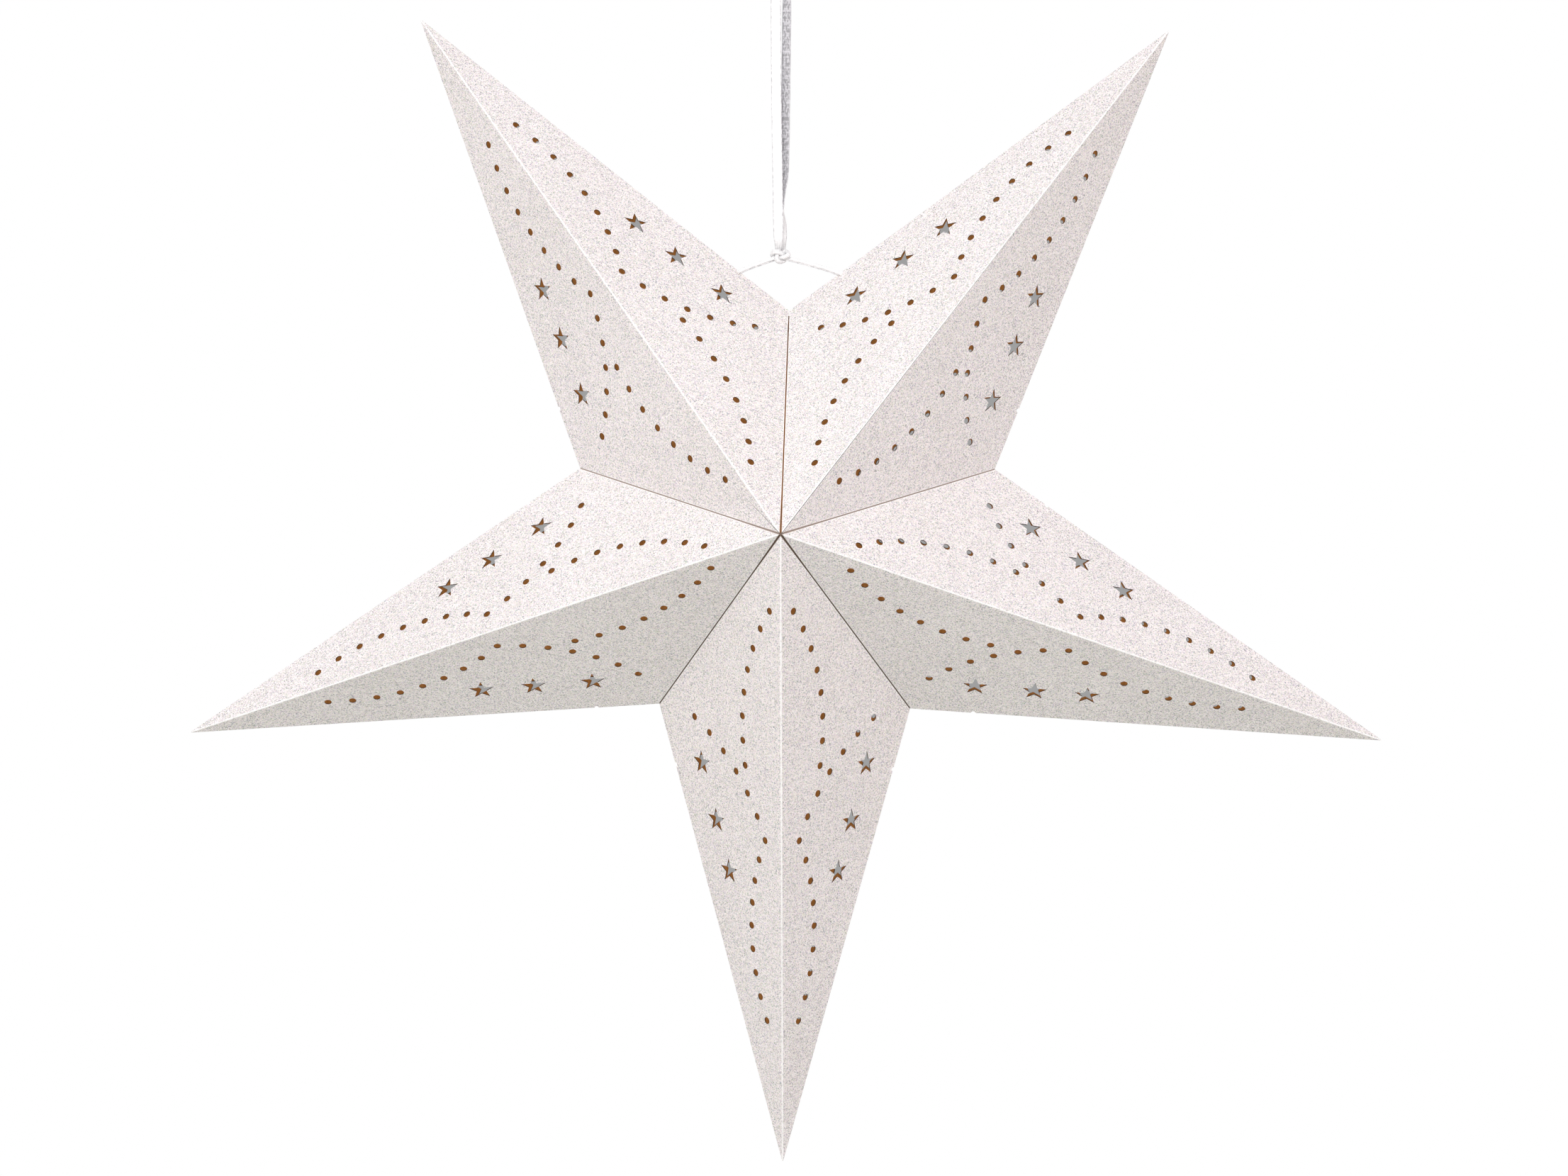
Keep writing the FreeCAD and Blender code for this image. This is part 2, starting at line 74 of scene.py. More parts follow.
# ---- ribbon, route points in mm ---------------------------------------------
RIBBON = 5.0 * MM
RIBBON_THICK = 0.3 * MM
RIBBON_CAMBER = 0.25 * MM
RIBBON_STRIPS = 12          # faces across
RIPPLE = 0.12 * MM          # how far its edges wander
RIPPLE_RATE = 0.35          # radians per mm
RIPPLE_LAG = 2.0            # radians between the two strands
GATHERED = 0.6              # share of its width left at the knot
GATHER_OVER = 11 * MM
PLEAT = 0.5 * MM
LOOP_ROUTE = ((0.3, -0.8, -159.35), (-0.6, -1.0, -125), (-1.8, -0.6, -80),
              (-2.6, 0, -35), (-3.0, 0, -9), (-3.0, 0, -4),
              (-3.0, 0, -1.56), (-1.24, 0, 0.2), (1.24, 0, 0.2),
              (3.0, 0, -1.56), (3.0, 0, -4), (3.0, 0, -9), (2.9, 0, -35),
              (2.9, 0.6, -80), (2.7, 1.1, -125), (2.0, 0.9, -159.35))
LEFT_TURN = ((-159.35, 82), (-40, 84), (-8, 0))       # height and degrees
RIGHT_TURN = ((-159.35, 74), (-152, 62), (-139, 0), (-117, -62),
              (-40, -60), (-8, 0))
SLING_ROUTE = ((0.0, 0, -163.0), (-18.24, 0, -169.2), (-21.42, 0, -173.32),
               (0.9, 0, -194.4), (9.9, 0, -194.4), (33.18, 0, -173.63),
               (30.04, 0, -169.48), (2.4, 0, -163.0))
ROUTE_ORDER = 3             # of the spline through a route
ROUTE_FINENESS = 10
SLING_D = 2.4 * MM
SLING_POINTS = 30           # around it
SLING_PLEATS = 5
SLING_TURNS = 1.2           # of its pleats along it
SLING_CORE, SLING_PLEAT, SLING_WAVE = 0.80, 0.20, 0.05    # shares of its radius
KNOT_AT = Vector((1.2, 0, -162.2)) * MM
KNOT_SIZE = Vector((12.0, 6.6, 9.0)) * MM
KNOT_BUNCH = 1.5 * MM       # radius of the ribbon in the knot
KNOT_STEPS = 72             # along it
KNOT_POINTS = 16            # around it
KNOT_PLEATS = 5
KNOT_CORE, KNOT_PLEAT = 0.95, 0.05
KNOT_FLAT = 0.75

# ---- camera and studio ------------------------------------------------------
CAMERA_AT = Vector((0.07428, -2.76922, -0.28256))
CAMERA_TURN = (89.071, -0.670, 1.446)
CAMERA_LENS = 127.71
CAMERA_SENSOR = 36
SIGHT_END = 200.0
FLOOR_Z = -1.9
FLOOR_SIDE = 14
FLOOR_PAINT = (0.61, 0.64, 0.58)
FLOOR_ROUGH = 0.9
FLOOR_WHITE = 0.9           # share of white in what the camera sees of it
BOARD_Y = 60.0
BOARD_INSET = 9.0 * MM
# painted shade seen through lined-up holes
BOARD_GREY = (0.35, 0.35, 0.35)
SKY_STRENGTH = 0.52
SKY_SHADES = ((0.12, (0.40, 0.50, 0.38)), (0.42, (1.05, 0.86, 0.90)),
              (0.78, (1.08, 1.09, 1.10)))       # from straight below to above
LIGHTS = (      # name, place, width, watts, colour
    ("key", (-0.50, -2.05, 0.82), 1.9, 28.8, (1, 1, 1)),
    ("front", (0.3, -2.6, -0.1), 1.8, 17.5, (1, 1, 1)),
    ("right_side", (1.9, -1.1, 0.1), 1.2, 7.4, (1, 0.86, 0.88)),
    ("back", (0.3, 2.6, 0.5), 1.8, 30, (1, 1, 1)),
    ("left_side", (-1.9, -1.1, 0.1), 1.2, 6.4, (1, 0.95, 0.95)))


# ---- small helpers ----------------------------------------------------------
def only(obj):
    bpy.ops.object.select_all(action="DESELECT")
    obj.select_set(True)
    bpy.context.view_layer.objects.active = obj


def pick(obj, kind, test):
    """Enters edit mode and selects the faces or edges that pass the test."""
    only(obj)
    bpy.ops.object.mode_set(mode="EDIT")
    bpy.ops.mesh.select_mode(type=kind)
    bpy.ops.mesh.select_all(action="DESELECT")
    shape = bmesh.from_edit_mesh(obj.data)
    for item in {"FACE": shape.faces, "EDGE": shape.edges}[kind]:
        if test(item):
            item.select = True
    shape.select_flush_mode()
    bmesh.update_edit_mesh(obj.data)


def done():
    bpy.ops.object.mode_set(mode="OBJECT")


def new_piece(name, shape):
    mesh = bpy.data.meshes.new(name)
    shape.to_mesh(mesh)
    shape.free()
    obj = bpy.data.objects.new(name, mesh)
    bpy.context.scene.collection.objects.link(obj)
    return obj


def rgba(colour):
    """The colour with its alpha; a single number makes a grey."""
    return (*colour, 1) if isinstance(colour, tuple) else (colour, colour, colour, 1)


# ---- material helpers -------------------------------------------------------
MOTTLE = (0.3, 0.7)                     # the middle of a noise's range
MIX_A, MIX_B, MIX_RESULT = 6, 7, 2      # colour sockets of a Mix node


class Finish:
    """A material under way: its nodes, its shader and its coordinates."""

    def __init__(self, name):
        self.material = bpy.data.materials.new(name)
        self.material.use_nodes = True
        self.tree = self.material.node_tree
        self.shader = self.tree.nodes["Principled BSDF"]
        self.place = self.node("TexCoord").outputs["Object"]

    def node(self, kind, feeds=(), **settings):
        made = self.tree.nodes.new("ShaderNode" + kind)
        for key, value in settings.items():
            setattr(made, key, value)
        for key, value in dict(feeds).items():
            self.feed(made.inputs[key], value)
        return made

    def feed(self, socket, value):
        if isinstance(value, bpy.types.NodeSocket):
            self.tree.links.new(value, socket)
        else:
            socket.default_value = value

    def set(self, **values):
        for key, value in values.items():
            self.feed(self.shader.inputs[key.replace("_", " ")], value)

    def noise(self, scale, detail=2.0, place=None):
        return self.node("TexNoise", {"Vector": place or self.place,
                                      "Scale": scale,
                                      "Detail": detail}).outputs["Fac"]

    def attribute(self, name):
        return self.node("Attribute", attribute_name=name).outputs["Fac"]

    def stretched(self, x, y, z, place=None):
        return self.node("Mapping", {"Vector": place or self.place,
                                     "Scale": (x, y, z)}).outputs[0]

    def ramp(self, factor, *stops):
        made = self.node("ValToRGB", {"Fac": factor})
        ends = made.color_ramp.elements
        while len(ends) < len(stops):
            ends.new(0.5)
        for end, (at, colour) in zip(ends, stops):
            end.position = at
            end.color = rgba(colour)
        return made.outputs["Color"]

    def between(self, factor, low, high, ends=MOTTLE):
        """Low where the factor is under the first end, high over the second."""
        return self.ramp(factor, (ends[0], low), (ends[1], high))

    def mix(self, factor, a, b, how="MIX"):
        made = self.node("Mix", data_type="RGBA", blend_type=how)
        self.feed(made.inputs[0], factor)
        for k, colour in ((MIX_A, a), (MIX_B, b)):
            linked = isinstance(colour, bpy.types.NodeSocket)
            self.feed(made.inputs[k], colour if linked else rgba(colour))
        return made.outputs[MIX_RESULT]

    def math(self, how, a, b=0.0):
        made = self.node("Math", operation=how)
        for socket, value in zip(made.inputs, (a, b)):
            self.feed(socket, value)
        return made.outputs[0]

    def within(self, value, inside, outside):
        """1 where value is under inside, falling to 0 at outside."""
        return self.node("MapRange", {"Value": value, "From Min": inside,
                                      "From Max": outside, "To Min": 1.0,
                                      "To Max": 0.0}).outputs[0]

    def relief(self, height, depth, strength):
        made = self.node("Bump", {"Height": height, "Distance": depth,
                                  "Strength": strength})
        self.feed(self.shader.inputs["Normal"], made.outputs[0])


# ---- card -------------------------------------------------------------------
GLITTER_PITCH = 0.43 * MM
FLAKES = ((0.0, (0.30, 0.26, 0.27)), (0.05, (0.52, 0.46, 0.465)),
          (0.28, (0.70, 0.64, 0.63)), (0.60, (0.84, 0.785, 0.775)),
          (0.93, (0.93, 0.905, 0.90)))
FLAKE_HUE = 0.30            # share of each flake's own colour
FLAKE_ROUGH = ((0.0, 0.16), (0.16, 0.5), (1.0, 0.72))
FLAKE_RELIEF = (0.16 * MM, 0.55)
CLOUD_SCALE = 14.0
CLOUD_RANGE = (0.42, 0.62)
CLOUD_TINT = (0.80, 0.79, 0.76)
CLOUD_SHARE = 0.12
# white of the folds: crazed card and a painted highlight where a fold catches the
# light
FOLD_WHITE_AND_HIGHLIGHT = (0.91, 0.90, 0.89)
FOLD_LINES = (("from_ridge", 0.65 * MM), ("from_crease", 0.2 * MM),
              ("from_seam", 0.75 * MM))         # half widths of the crazed lines and their painted highlight
FOLD_FADE = (0.5 * MM, 1.1 * MM)
RAGGED = 1.8 * MM           # how far the edge of a crazed, highlighted line wanders
RAGGED_SCALE = 900.0
SEAM_HALF = 0.24 * MM       # half width of the shut joint between two arms
SEAM_GAPE = 0.30 * MM       # what it opens by at the middle of the star
GAPE_OVER = 34 * MM
SEAM_SHUT, SEAM_TAN, SEAM_OPEN_SHADE = 0.0, 0.5, 1.0
SEAM_TONES = (SEAM_OPEN_SHADE, SEAM_OPEN_SHADE, SEAM_SHUT, SEAM_TAN, SEAM_SHUT)   # by notch
# colours in the joint: grey-brown and tan card edge where it is shut, painted shade
# where it stands open
SEAM_COLOURS = ((SEAM_SHUT, (0.44, 0.36, 0.32)), (SEAM_TAN, (0.46, 0.28, 0.18)),
                (SEAM_OPEN_SHADE, (0.16, 0.11, 0.08)))
KRAFT_FIBRES = (900, 300, 240)
KRAFT_DARK = (0.30, 0.15, 0.055)
KRAFT_SHADES = ((0.30, KRAFT_DARK), (0.55, (0.35, 0.20, 0.08)),
                (0.75, (0.52, 0.30, 0.14)))
KRAFT_CLOUD, KRAFT_CLOUD_SHARE = 40.0, 0.35
# painted glow: emission standing in for the light inside the star
KRAFT_GLOW = ((0.30, (0.28, 0.13, 0.035)), (0.75, (0.44, 0.21, 0.065)))
KRAFT_GLOW_STRENGTH = 0.38
KRAFT_ROUGH = 0.85
KRAFT_RELIEF = (0.05 * MM, 0.6)
EDGE_GRAIN = (300, 2600, 300)
# the cut edge's kraft core darkened with painted shade
EDGE_CORE_IN_SHADE = ((0.05, 0.025, 0.015), (0.11, 0.06, 0.03))
EDGE_ROUGH = 0.8
EDGE_RELIEF = (0.04 * MM, 0.5)


def crazed_and_highlight_lines(f):
    """1 on the white lines of the ridge, the crease and the seam: crazed card with a
    painted highlight.
    """
    ragged = f.math("MULTIPLY", f.noise(RAGGED_SCALE), RAGGED)
    lines = []
    for name, half in FOLD_LINES:
        away = f.math("ADD", f.attribute(name), ragged)
        lines.append(f.within(away, half + FOLD_FADE[0], half + FOLD_FADE[1]))
    return f.math("MAXIMUM", f.math("MAXIMUM", *lines[:2]), lines[2])


def open_joint(f):
    """1 in the joint between two arms, wider towards the star's middle."""
    away = f.attribute("from_seam")
    middle = f.node("VectorMath", operation="DISTANCE")
    f.feed(middle.inputs[0], f.place)
    f.feed(middle.inputs[1], FRONT_POINT)
    near = f.within(middle.outputs["Value"], 0.0, GAPE_OVER)
    gape = f.math("MULTIPLY", near, SEAM_GAPE)
    return f.within(f.math("SUBTRACT", away, gape), SEAM_HALF, 2 * SEAM_HALF)


def glitter_card():
    """Pinkish white card strewn with fine flakes; the folds are crazed white, with a
    painted highlight.
    """
    f = Finish("glitter_card")
    cells = f.node("TexVoronoi", {"Vector": f.place, "Scale": 1 / GLITTER_PITCH})
    flake = f.node("SeparateColor", {"Color": cells.outputs["Color"]})
    grain = f.ramp(flake.outputs["Red"], *FLAKES)
    grain = f.mix(FLAKE_HUE, grain, cells.outputs["Color"], "SOFT_LIGHT")
    cloud = f.within(f.noise(CLOUD_SCALE, 3.0), *CLOUD_RANGE)
    ground = f.mix(cloud, grain, CLOUD_TINT, "MULTIPLY")
    ground = f.mix(CLOUD_SHARE, grain, ground)
    face = f.mix(crazed_and_highlight_lines(f), ground, FOLD_WHITE_AND_HIGHLIGHT)
    # the joints: card edge colour, with painted shade in the open ones
    seam = f.ramp(f.attribute("seam_tone"), *SEAM_COLOURS)
    f.set(Base_Color=f.mix(open_joint(f), face, seam),
          Roughness=f.ramp(flake.outputs["Green"], *FLAKE_ROUGH))
    f.relief(cells.outputs["Distance"], *FLAKE_RELIEF)
    return f.material


def kraft_back():
    """Brown kraft side of the card, with a painted glow standing in for the light
    that comes through.
    """
    f = Finish("kraft_back")
    fibres = f.noise(1.0, 4.0, f.stretched(*KRAFT_FIBRES))
    cloud = f.math("MULTIPLY", f.noise(KRAFT_CLOUD), KRAFT_CLOUD_SHARE)
    f.set(Base_Color=f.mix(cloud, f.ramp(fibres, *KRAFT_SHADES), KRAFT_DARK),
          Roughness=KRAFT_ROUGH, Emission_Color=f.ramp(fibres, *KRAFT_GLOW),
          Emission_Strength=KRAFT_GLOW_STRENGTH)
    f.relief(fibres, *KRAFT_RELIEF)
    return f.material


def cut_edge():
    """Punched edge of the card: kraft core, darkened with painted shade."""
    f = Finish("cut_edge")
    core = f.noise(1.0, 2.0, f.stretched(*EDGE_GRAIN))
    f.set(Base_Color=f.between(core, *EDGE_CORE_IN_SHADE), Roughness=EDGE_ROUGH)
    f.relief(core, *EDGE_RELIEF)
    return f.material


# ---- satin, whose UV map runs 0 to 1 across and in metres along -------------
SATIN_WHITE = ((0.90, 0.90, 0.90), (0.76, 0.76, 0.77))    # light and shade
# the ribbon's back: duller satin, its grey partly painted shade for the strand that
# turns away from the light
SATIN_DULL_SHADED = ((0.70, 0.69, 0.72), (0.42, 0.41, 0.44))
WHITE_RIB, WHITE_SLUB = 0.28 * MM, 0.10
DULL_RIB, DULL_SLUB = 0.4 * MM, 0.45
RIB_WANDER = 0.6
THREADS = (26, 700, 1)
WEAVE_RANGE = (0.02, 0.30)
WEAVE_RELIEF = (0.06 * MM, 0.5)
SLUBS = (5, 480, 1)
SLUB_RANGE = (0.44, 0.56)
# grey of the ribbon's edges: selvedge threads and painted shade
SELVEDGE_AND_SHADE = (0.50, 0.50, 0.52)
SELVEDGE_RANGE = (0.03, 0.10)
SELVEDGE_SPECKLE = (0.40, 0.60)
SATIN_ROUGH = 0.42
SATIN_SHEEN, SATIN_SHEEN_ROUGH = 0.25, 0.4


def satin_ribbon(name, light, shade, rib, slub):
    """Woven ribbon: ribs across it, finer threads along it, knots in the yarn."""
    f = Finish(name)
    where = f.node("UVMap", uv_map="ribbon").outputs["UV"]
    knots = f.noise(1.0, 3.0, f.stretched(*SLUBS, where))
    across = f.node("SeparateXYZ", {"Vector": where}).outputs["X"]
    inner = f.math("MULTIPLY", across, f.math("SUBTRACT", 1.0, across))
    # grey specks along both edges: selvedge and painted shade
    selvedge_and_shade = f.math("MULTIPLY", f.within(inner, *SELVEDGE_RANGE),
                      f.within(knots, *SELVEDGE_SPECKLE))
    ribs = f.node("TexWave", {"Vector": f.stretched(0, 1, 1, where),
                              "Scale": 1 / rib / math.tau,
                              "Distortion": RIB_WANDER, "Detail": 1.0},
                  bands_direction="Y")
    threads = f.noise(1.0, 2.0, f.stretched(*THREADS, where))
    weave = f.math("MULTIPLY", ribs.outputs["Fac"], threads)
    yarn = f.between(knots, 1.0 - slub, 1.0, SLUB_RANGE)
    cloth = f.between(weave, shade, light, WEAVE_RANGE)
    cloth = f.mix(1.0, cloth, yarn, "MULTIPLY")
    f.set(Base_Color=f.mix(selvedge_and_shade, cloth, SELVEDGE_AND_SHADE), Roughness=SATIN_ROUGH,
          Sheen_Weight=SATIN_SHEEN, Sheen_Roughness=SATIN_SHEEN_ROUGH)
    f.relief(weave, *WEAVE_RELIEF)
    return f.material


# ---- lamp finishes ----------------------------------------------------------
STEEL_DARK = 0.82           # share of its colour in a drawn mark
STEEL_ROUGH = (0.8, 1.3)
STEEL_RELIEF = (0.02 * MM, 0.4)
PLASTIC_GRAIN = 2600.0
PLASTIC_CLOUD = 60.0
PLASTIC_DARK = 0.93
PLASTIC_ROUGH = (0.85, 1.2)
PLASTIC_RELIEF = (0.03 * MM, 0.35)
BOARD_RUNS = 320.0
RUN_RANGE = (0.42, 0.47)
RUN_COLOUR, MASK_COLOUR = (0.60, 0.66, 0.58), (0.78, 0.82, 0.76)
MASK_ROUGH, MASK_COAT = 0.35, 0.3
MASK_RELIEF = (0.03 * MM, 0.5)
GEL_GRAIN = 900.0
GEL_SHADES = ((0.35, (0.85, 0.62, 0.12)), (0.65, (0.90, 0.76, 0.30)))
GEL_ROUGH, GEL_COAT = 0.22, 0.5
GEL_RELIEF = (0.02 * MM, 0.3)
FROST_GRAIN = 1800.0
FROST_SHADES = ((0.80, 0.80, 0.77), (0.90, 0.90, 0.87))
FROST_ROUGH = (0.35, 0.6)
FROST_DEPTH, FROST_SHARE = 2 * MM, 0.2
FROST_RELIEF = (0.02 * MM, 0.4)


def steel(name, colour, roughness, scratch):
    """Plated steel with fine drawn marks."""
    f = Finish(name)
    marks = f.noise(1.0, 3.0, f.stretched(*scratch))
    dark = tuple(c * STEEL_DARK for c in colour)
    low, high = (roughness * share for share in STEEL_ROUGH)
    f.set(Base_Color=f.between(marks, dark, colour), Metallic=1.0,
          Roughness=f.between(marks, low, high))
    f.relief(marks, *STEEL_RELIEF)
    return f.material


def moulded(name, colour, roughness):
    """Moulded plastic with a fine spark-eroded grain."""
    f = Finish(name)
    grit = f.noise(PLASTIC_GRAIN)
    cloud = f.noise(PLASTIC_CLOUD)
    dark = tuple(c * PLASTIC_DARK for c in colour)
    low, high = (roughness * share for share in PLASTIC_ROUGH)
    f.set(Base_Color=f.between(cloud, dark, colour),
          Roughness=f.between(grit, low, high))
    f.relief(grit, *PLASTIC_RELIEF)
    return f.material


def circuit_board():
    """White solder mask with faint copper runs under it."""
    f = Finish("circuit_board")
    runs = f.node("TexVoronoi", {"Vector": f.place, "Scale": BOARD_RUNS},
                  distance="CHEBYCHEV", feature="F1")
    edge = f.within(runs.outputs["Distance"], *RUN_RANGE)
    f.set(Base_Color=f.mix(edge, RUN_COLOUR, MASK_COLOUR),
          Roughness=MASK_ROUGH, Coat_Weight=MASK_COAT)
    f.relief(edge, *MASK_RELIEF)
    return f.material


def led_lens():
    """Yellow phosphor gel of a white lamp chip."""
    f = Finish("led_lens")
    gel = f.noise(GEL_GRAIN)
    f.set(Base_Color=f.ramp(gel, *GEL_SHADES), Roughness=GEL_ROUGH,
          Coat_Weight=GEL_COAT)
    f.relief(gel, *GEL_RELIEF)
    return f.material


def frosted():
    """Frosted diffuser."""
    f = Finish("diffuser_plastic")
    frost = f.noise(FROST_GRAIN, 3.0)
    f.set(Base_Color=f.between(frost, *FROST_SHADES),
          Roughness=f.between(frost, *FROST_ROUGH),
          Subsurface_Weight=FROST_SHARE, Subsurface_Scale=FROST_DEPTH)
    f.relief(frost, *FROST_RELIEF)
    return f.material


# ---- star -------------------------------------------------------------------
def on_star(angle, reach):
    a = math.radians(angle)
    return STAR_CENTRE + Vector((math.cos(a), 0, math.sin(a))) * reach


def tip(i):
    k = i % len(ARMS)
    return on_star(FIRST_TIP + ARM_STEP * k + TIP_LEAN[k], TIP_REACH)


def notch(i):
    """Notch i lies clockwise of arm i, seen from the front."""
    k = i % len(ARMS)
    return on_star(FIRST_NOTCH + ARM_STEP * k + NOTCH_LEAN[k],
                   NOTCH_REACH + NOTCH_SHIFT[k] * MM)


class Panel:
    """Outer face of one panel and its three folds."""

    def __init__(self, i, k, side):
        self.tip, self.notch = tip(i), notch(k)
        self.seam_tone = SEAM_TONES[k % len(ARMS)]
        self.centre = STAR_CENTRE + Vector((0, side * HALF_DEPTH, 0))
        across, inward = self.notch - self.tip, self.centre - self.tip
        self.normal = across.cross(inward).normalized()
        if self.normal.y * side < 0:
            self.normal.negate()
        self.ridge = (self.tip, self.centre)
        self.crease = (self.tip, self.notch)
        self.seam = (self.notch, self.centre)

    def holds(self, point, slack):
        return abs(self.normal.dot(point - self.tip)) < slack


def off_line(point, line):
    along = (line[1] - line[0]).normalized()
    gap = point - line[0]
    return (gap - along * gap.dot(along)).length


def card_copy(name):
    """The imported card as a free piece, its doubled points merged."""
    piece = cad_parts[name].copy()
    piece.data = piece.data.copy()
    piece.name = name + "_card"
    piece.parent = None
    piece.matrix_world = Matrix()
    bpy.context.scene.collection.objects.link(piece)
    pick(piece, "FACE", lambda face: True)
    bpy.ops.mesh.remove_doubles(threshold=WELD)
    done()
    return piece


def open_mitres(piece, pairs):
    """Takes away the faces on which two panels of the card meet."""
    mitres = [(STAR_CENTRE, Vector((0, 1, 0)))]
    for a, b in pairs:
        line = a.centre - a.tip
        mitres.append((a.tip, line.cross(a.normal + b.normal).normalized()))

    def mitred(face):
        return any(all(abs(normal.dot(v.co - point)) < WELD for v in face.verts)
                   for point, normal in mitres)

    pick(piece, "FACE", mitred)
    bpy.ops.mesh.delete(type="FACE")
    done()


def sew_tees(piece):
    """Splits an open edge where another panel's corner lies on it, and welds."""
    shape = bmesh.new()
    shape.from_mesh(piece.data)
    corners = [v.co.copy() for v in shape.verts if v.is_boundary]
    for point in corners:
        for edge in [e for e in shape.edges if e.is_boundary]:
            a, b = (v.co for v in edge.verts)
            run = b - a
            share = (point - a).dot(run) / run.length_squared
            inside = WELD < share * run.length < run.length - WELD
            if inside and (a + run * share - point).length < WELD:
                new = bmesh.utils.edge_split(edge, edge.verts[0], share)[1]
                new.co = point
    bmesh.ops.remove_doubles(shape, verts=shape.verts, dist=WELD)
    shape.to_mesh(piece.data)
    shape.free()


def round_folds(piece, panels):
    folds = [line for p in panels for line in (p.ridge, p.crease, p.seam)]

    def folded(edge):
        return any(all(off_line(v.co, line) < WELD for v in edge.verts)
                   for line in folds)

    pick(piece, "EDGE", folded)
    bpy.ops.mesh.bevel(offset=FOLD_ROUND, segments=FOLD_STEPS, affect="EDGES",
                       clamp_overlap=False)
    done()


def side_of_card(face, panels):
    """1 for the kraft back and the flaps, 2 for the cut edge of a hole."""
    for p in panels:
        upright = abs(face.normal.dot(p.normal)) < UPRIGHT
        if upright and p.holds(face.center, CARD) and face.area < RIM_FACE:
            return 2
    return 1


def paint_card(mesh, panels, finishes):
    """Gives each face its side's finish and each glitter corner its way to
    the folds and its seam's tone."""
    mesh.materials.clear()
    for finish in finishes:
        mesh.materials.append(finish)
    keys = ("ridge", "crease", "seam")
    for key in keys:
        mesh.attributes.new("from_" + key, "FLOAT", "CORNER")
    mesh.attributes.new("seam_tone", "FLOAT", "CORNER")
    layers = {key: mesh.attributes["from_" + key] for key in keys}
    tones = mesh.attributes["seam_tone"]
    for face in mesh.polygons:
        outward = [p for p in panels if p.holds(face.center, FOLD_ROUND)
                   and face.normal.dot(p.normal) > OUTWARD]
        face.material_index = 0 if outward else side_of_card(face, panels)
        if not outward:
            continue
        panel = min(outward, key=lambda p: -face.normal.dot(p.normal))
        for k in face.loop_indices:
            point = mesh.vertices[mesh.loops[k].vertex_index].co
            for key, layer in layers.items():
                layer.data[k].value = off_line(point, getattr(panel, key))
            tones.data[k].value = panel.seam_tone


def shade_flat(mesh, panels):
    """Gives each panel's faces the panel's own direction, so long triangles
    between the holes don't show."""
    normals = [corner.vector.copy() for corner in mesh.corner_normals]
    for face in mesh.polygons:
        for p in panels:
            lean = face.normal.dot(p.normal)
            if abs(lean) > SAME_PLANE and p.holds(face.center, 2 * CARD):
                for k in face.loop_indices:
                    normals[k] = p.normal * (1 if lean > 0 else -1)
    mesh.normals_split_custom_set(normals)


def card_arm(i, finishes):
    """The folded card as one skin: scores joined, folds rounded, kraft inside."""
    name = ARMS[i]
    pairs = [(Panel(i, i, side), Panel(i, i + 1, side)) for side in (-1, 1)]
    panels = [p for pair in pairs for p in pair]
    piece = card_copy(name)
    open_mitres(piece, pairs)
    sew_tees(piece)
    round_folds(piece, panels)
    paint_card(piece.data, panels, finishes)
    only(piece)
    bpy.ops.object.shade_smooth_by_angle(angle=math.radians(FLAT_WITHIN))
    shade_flat(piece.data, panels)
    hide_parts(name)
    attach(piece, "star")


# ---- ribbon -----------------------------------------------------------------
def route_line(route):
    """Points of the smooth spline that a ribbon follows."""
    curve = bpy.data.curves.new("route", "CURVE")
    curve.dimensions = "3D"
    spline = curve.splines.new("NURBS")
    spline.points.add(len(route) - 1)
    for point, at in zip(spline.points, route):
        point.co = (*(Vector(at) * MM), 1)
    spline.order_u = ROUTE_ORDER
    spline.use_endpoint_u = True
    spline.resolution_u = ROUTE_FINENESS
    holder = bpy.data.objects.new("route", curve)
    mesh = bpy.data.meshes.new_from_object(holder)
    line = [v.co.copy() for v in mesh.vertices]
    bpy.data.objects.remove(holder)
    bpy.data.curves.remove(curve)
    bpy.data.meshes.remove(mesh)
    return line


def eased(z, turns):
    """The ribbon's turn at height z, eased from each stop to the next."""
    for (za, a), (zb, b) in zip(turns, turns[1:]):
        if z <= zb:
            f = min(max((z - za) / (zb - za), 0.0), 1.0)
            return a + (b - a) * f * f * (3 - 2 * f)
    return turns[-1][1]


def directions(line, closed=False):
    ends = []
    last = len(line) - 1
    for k in range(len(line)):
        before = line[k - 1] if k or closed else line[0]
        after = line[(k + 1) % len(line)] if k < last or closed else line[last]
        ends.append((after - before).normalized())
    return ends


def woven(name, line, rows, closed=False, capped=False):
    """Skin through rows of points, one row per point of the line; its UV map
    runs 0 to 1 across and in metres along."""
    shape = bmesh.new()
    uv = shape.loops.layers.uv.new("ribbon")
    verts = [[shape.verts.new(p) for p in row] for row in rows]
    along = [0.0]
    for a, b in zip(line, line[1:] + line[:1]):
        along.append(along[-1] + (b - a).length)
    points = len(rows[0])
    strips = points if capped or closed else points - 1
    for k in range(len(rows) if closed else len(rows) - 1):
        low, high = verts[k], verts[(k + 1) % len(rows)]
        for j in range(strips):
            n = (j + 1) % points
            face = shape.faces.new((low[j], low[n], high[n], high[j]))
            spots = ((j, k), (j + 1, k), (j + 1, k + 1), (j, k + 1))
            for loop, (u, v) in zip(face.loops, spots):
                loop[uv].uv = (u / strips, along[v])
    if capped:
        shape.faces.new(reversed(verts[0]))
        shape.faces.new(verts[-1])
    obj = new_piece(name, shape)
    only(obj)
    bpy.ops.object.shade_smooth()
    return obj


def thicken(obj):
    """Gives a ribbon's face its back and its edges, in the next finish."""
    only(obj)
    wall = obj.modifiers.new("thicken", "SOLIDIFY")
    wall.thickness = RIBBON_THICK
    wall.offset = 0.0
    wall.material_offset = 1
    wall.use_even_offset = True
    bpy.ops.object.modifier_apply(modifier=wall.name)


